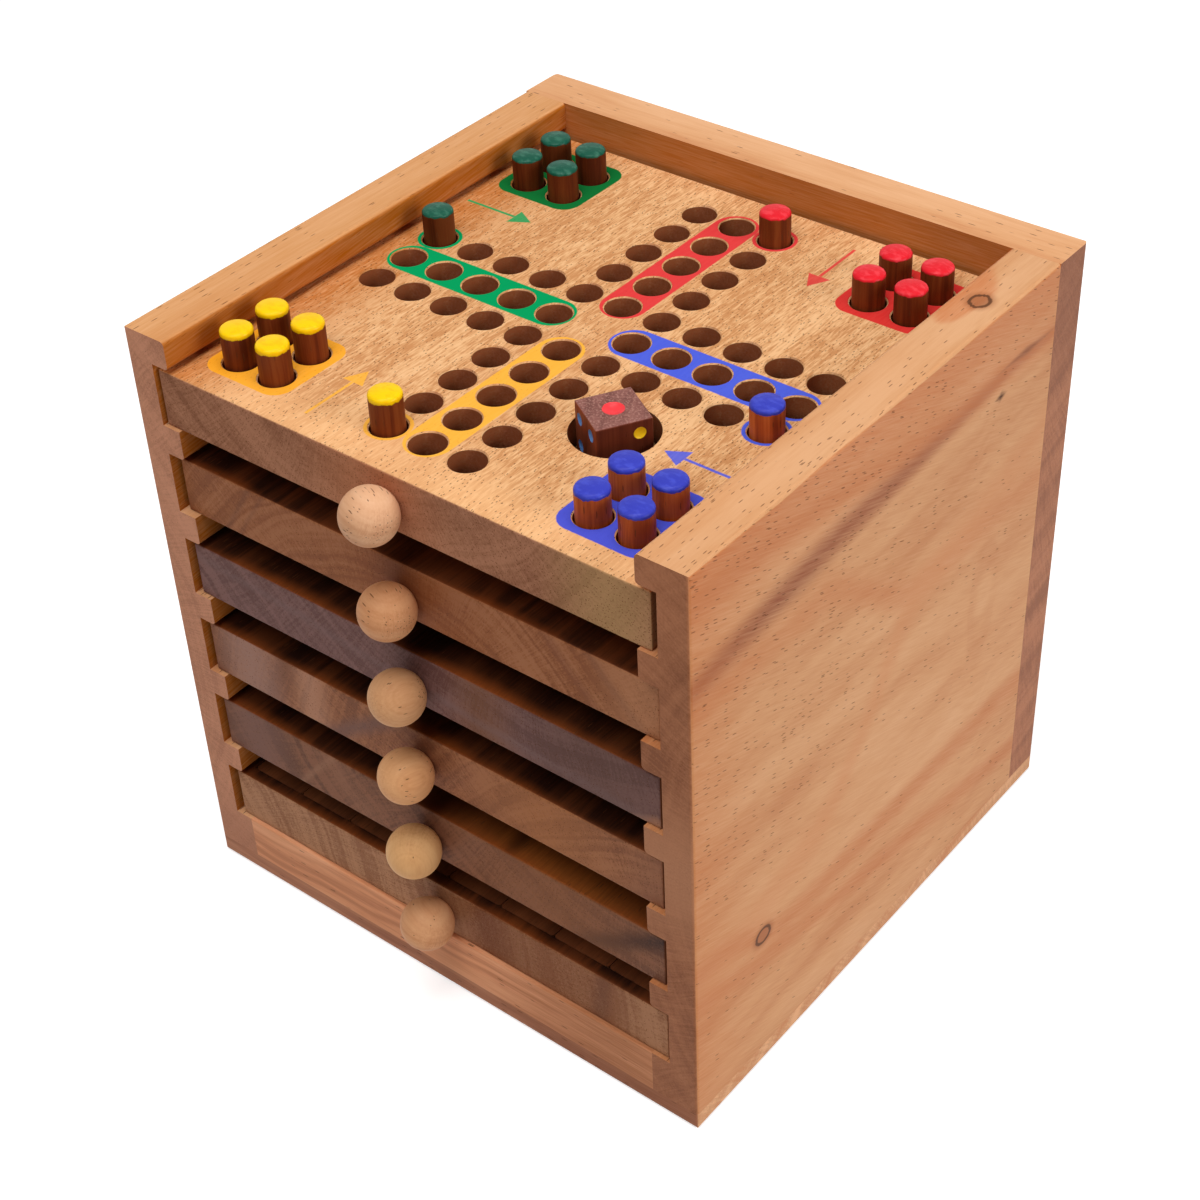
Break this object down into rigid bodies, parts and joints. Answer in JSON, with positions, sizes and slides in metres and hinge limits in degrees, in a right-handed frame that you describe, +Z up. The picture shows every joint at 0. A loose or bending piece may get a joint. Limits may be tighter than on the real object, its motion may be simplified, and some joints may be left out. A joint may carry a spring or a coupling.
{
  "type": "wooden game cabinet",
  "caption": "Open-fronted solid wood game cabinet whose board trays slide out of grooves; ludo on top with pegs and a die, other peg games and dominoes below.",
  "frame": {"origin": "centre of the case's footprint on the surface that it stands on", "axes": "+X along the open front to the right, +Y from the front to the back, +Z up"},
  "size_m": [0.145, 0.153, 0.1514],
  "materials": {
    "case_wood": "oiled light brown hardwood with fine dark pores, satin",
    "back_wood": "oiled hardwood, darker on its end grain, satin",
    "base_wood": "oiled orange brown hardwood with long streaks, satin",
    "plate_wood": "oiled dark brown hardwood, satin",
    "board_wood": "oiled golden hardwood with painted playing fields, satin",
    "tray_wood_red": "oiled red brown hardwood, satin",
    "tray_wood_purple": "oiled dark purple brown hardwood, satin",
    "tray_wood_grey": "oiled grey brown hardwood with a dark band, satin",
    "tray_wood_streaked": "oiled hardwood with dark streaks, satin",
    "tray_wood_olive": "oiled olive brown hardwood, satin",
    "knob_wood": "turned pale pinkish hardwood, satin",
    "peg_wood_yellow": "dark red brown turned wood with a glossy yellow painted top",
    "peg_wood_green": "dark red brown turned wood with a glossy green painted top",
    "peg_wood_red": "dark red brown turned wood with a glossy red painted top",
    "peg_wood_blue": "dark red brown turned wood with a glossy blue painted top",
    "die_wood": "dark red brown wood with painted pips, satin",
    "peg_wood_light": "pale turned wood, satin",
    "peg_wood_dark": "dark red brown turned wood, satin",
    "domino_wood": "dark red brown wood with pale painted pips, satin"
  },
  "bodies": {
    "case": {"left_side_panel": "case_wood", "right_side_panel": "case_wood", "back_panel": "back_wood", "base_board": "base_wood", "bottom_plate": "plate_wood"},
    "tray_1": {"ludo_tray": "board_wood", "knob_1": "knob_wood"},
    "tray_2": {"solitaire_tray": "tray_wood_red", "solitaire_pegs": "peg_wood_light", "knob_2": "knob_wood"},
    "tray_3": {"morris_tray": "tray_wood_purple", "morris_pegs_light": "peg_wood_light", "morris_pegs_dark": "peg_wood_dark", "knob_3": "knob_wood"},
    "tray_4": {"draughts_tray": "tray_wood_grey", "draughts_pegs_light": "peg_wood_light", "draughts_pegs_dark": "peg_wood_dark", "knob_4": "knob_wood"},
    "tray_5": {"noughts_tray": "tray_wood_streaked", "noughts_pegs": "peg_wood_light", "crosses_pegs": "peg_wood_dark", "knob_5": "knob_wood"},
    "tray_6": {"domino_tray": "tray_wood_olive", "dominoes_row_1": "domino_wood", "dominoes_row_2": "domino_wood", "dominoes_row_3": "domino_wood", "dominoes_row_4": "domino_wood", "knob_6": "knob_wood"},
    "yellow_peg_1": {"yellow_peg_1": "peg_wood_yellow"},
    "yellow_peg_2": {"yellow_peg_2": "peg_wood_yellow"},
    "yellow_peg_3": {"yellow_peg_3": "peg_wood_yellow"},
    "yellow_peg_4": {"yellow_peg_4": "peg_wood_yellow"},
    "yellow_peg_5": {"yellow_peg_5": "peg_wood_yellow"},
    "green_peg_1": {"green_peg_1": "peg_wood_green"},
    "green_peg_2": {"green_peg_2": "peg_wood_green"},
    "green_peg_3": {"green_peg_3": "peg_wood_green"},
    "green_peg_4": {"green_peg_4": "peg_wood_green"},
    "green_peg_5": {"green_peg_5": "peg_wood_green"},
    "red_peg_1": {"red_peg_1": "peg_wood_red"},
    "red_peg_2": {"red_peg_2": "peg_wood_red"},
    "red_peg_3": {"red_peg_3": "peg_wood_red"},
    "red_peg_4": {"red_peg_4": "peg_wood_red"},
    "red_peg_5": {"red_peg_5": "peg_wood_red"},
    "blue_peg_1": {"blue_peg_1": "peg_wood_blue"},
    "blue_peg_2": {"blue_peg_2": "peg_wood_blue"},
    "blue_peg_3": {"blue_peg_3": "peg_wood_blue"},
    "blue_peg_4": {"blue_peg_4": "peg_wood_blue"},
    "blue_peg_5": {"blue_peg_5": "peg_wood_blue"},
    "die": {"die": "die_wood"}
  },
  "joints": [
    {"name": "tray_1_slide", "type": "slide", "parent": "case", "child": "tray_1", "axis": [0, -1, 0], "range_m": [-0.0011, 0.12]},
    {"name": "tray_2_slide", "type": "slide", "parent": "case", "child": "tray_2", "axis": [0, -1, 0], "range_m": [-0.0002, 0.12]},
    {"name": "tray_3_slide", "type": "slide", "parent": "case", "child": "tray_3", "axis": [0, -1, 0], "range_m": [-0.0008, 0.12]},
    {"name": "tray_4_slide", "type": "slide", "parent": "case", "child": "tray_4", "axis": [0, -1, 0], "range_m": [-0.0007, 0.12]},
    {"name": "tray_5_slide", "type": "slide", "parent": "case", "child": "tray_5", "axis": [0, -1, 0], "range_m": [-0.0008, 0.12]},
    {"name": "tray_6_slide", "type": "slide", "parent": "case", "child": "tray_6", "axis": [0, -1, 0], "range_m": [-0.001, 0.12]},
    {"name": "yellow_peg_1_lift", "type": "slide", "parent": "tray_1", "child": "yellow_peg_1", "axis": [0, 0, 1], "range_m": [0, 0.012]},
    {"name": "yellow_peg_2_lift", "type": "slide", "parent": "tray_1", "child": "yellow_peg_2", "axis": [0, 0, 1], "range_m": [0, 0.012]},
    {"name": "yellow_peg_3_lift", "type": "slide", "parent": "tray_1", "child": "yellow_peg_3", "axis": [0, 0, 1], "range_m": [0, 0.012]},
    {"name": "yellow_peg_4_lift", "type": "slide", "parent": "tray_1", "child": "yellow_peg_4", "axis": [0, 0, 1], "range_m": [0, 0.012]},
    {"name": "yellow_peg_5_lift", "type": "slide", "parent": "tray_1", "child": "yellow_peg_5", "axis": [0, 0, 1], "range_m": [0, 0.012]},
    {"name": "green_peg_1_lift", "type": "slide", "parent": "tray_1", "child": "green_peg_1", "axis": [0, 0, 1], "range_m": [0, 0.012]},
    {"name": "green_peg_2_lift", "type": "slide", "parent": "tray_1", "child": "green_peg_2", "axis": [0, 0, 1], "range_m": [0, 0.012]},
    {"name": "green_peg_3_lift", "type": "slide", "parent": "tray_1", "child": "green_peg_3", "axis": [0, 0, 1], "range_m": [0, 0.012]},
    {"name": "green_peg_4_lift", "type": "slide", "parent": "tray_1", "child": "green_peg_4", "axis": [0, 0, 1], "range_m": [0, 0.012]},
    {"name": "green_peg_5_lift", "type": "slide", "parent": "tray_1", "child": "green_peg_5", "axis": [0, 0, 1], "range_m": [0, 0.012]},
    {"name": "red_peg_1_lift", "type": "slide", "parent": "tray_1", "child": "red_peg_1", "axis": [0, 0, 1], "range_m": [0, 0.012]},
    {"name": "red_peg_2_lift", "type": "slide", "parent": "tray_1", "child": "red_peg_2", "axis": [0, 0, 1], "range_m": [0, 0.012]},
    {"name": "red_peg_3_lift", "type": "slide", "parent": "tray_1", "child": "red_peg_3", "axis": [0, 0, 1], "range_m": [0, 0.012]},
    {"name": "red_peg_4_lift", "type": "slide", "parent": "tray_1", "child": "red_peg_4", "axis": [0, 0, 1], "range_m": [0, 0.012]},
    {"name": "red_peg_5_lift", "type": "slide", "parent": "tray_1", "child": "red_peg_5", "axis": [0, 0, 1], "range_m": [0, 0.012]},
    {"name": "blue_peg_1_lift", "type": "slide", "parent": "tray_1", "child": "blue_peg_1", "axis": [0, 0, 1], "range_m": [0, 0.012]},
    {"name": "blue_peg_2_lift", "type": "slide", "parent": "tray_1", "child": "blue_peg_2", "axis": [0, 0, 1], "range_m": [0, 0.012]},
    {"name": "blue_peg_3_lift", "type": "slide", "parent": "tray_1", "child": "blue_peg_3", "axis": [0, 0, 1], "range_m": [0, 0.012]},
    {"name": "blue_peg_4_lift", "type": "slide", "parent": "tray_1", "child": "blue_peg_4", "axis": [0, 0, 1], "range_m": [0, 0.012]},
    {"name": "blue_peg_5_lift", "type": "slide", "parent": "tray_1", "child": "blue_peg_5", "axis": [0, 0, 1], "range_m": [0, 0.012]},
    {"name": "die_lift", "type": "slide", "parent": "tray_1", "child": "die", "axis": [0, 0, 1], "range_m": [0, 0.012]}
  ]
}
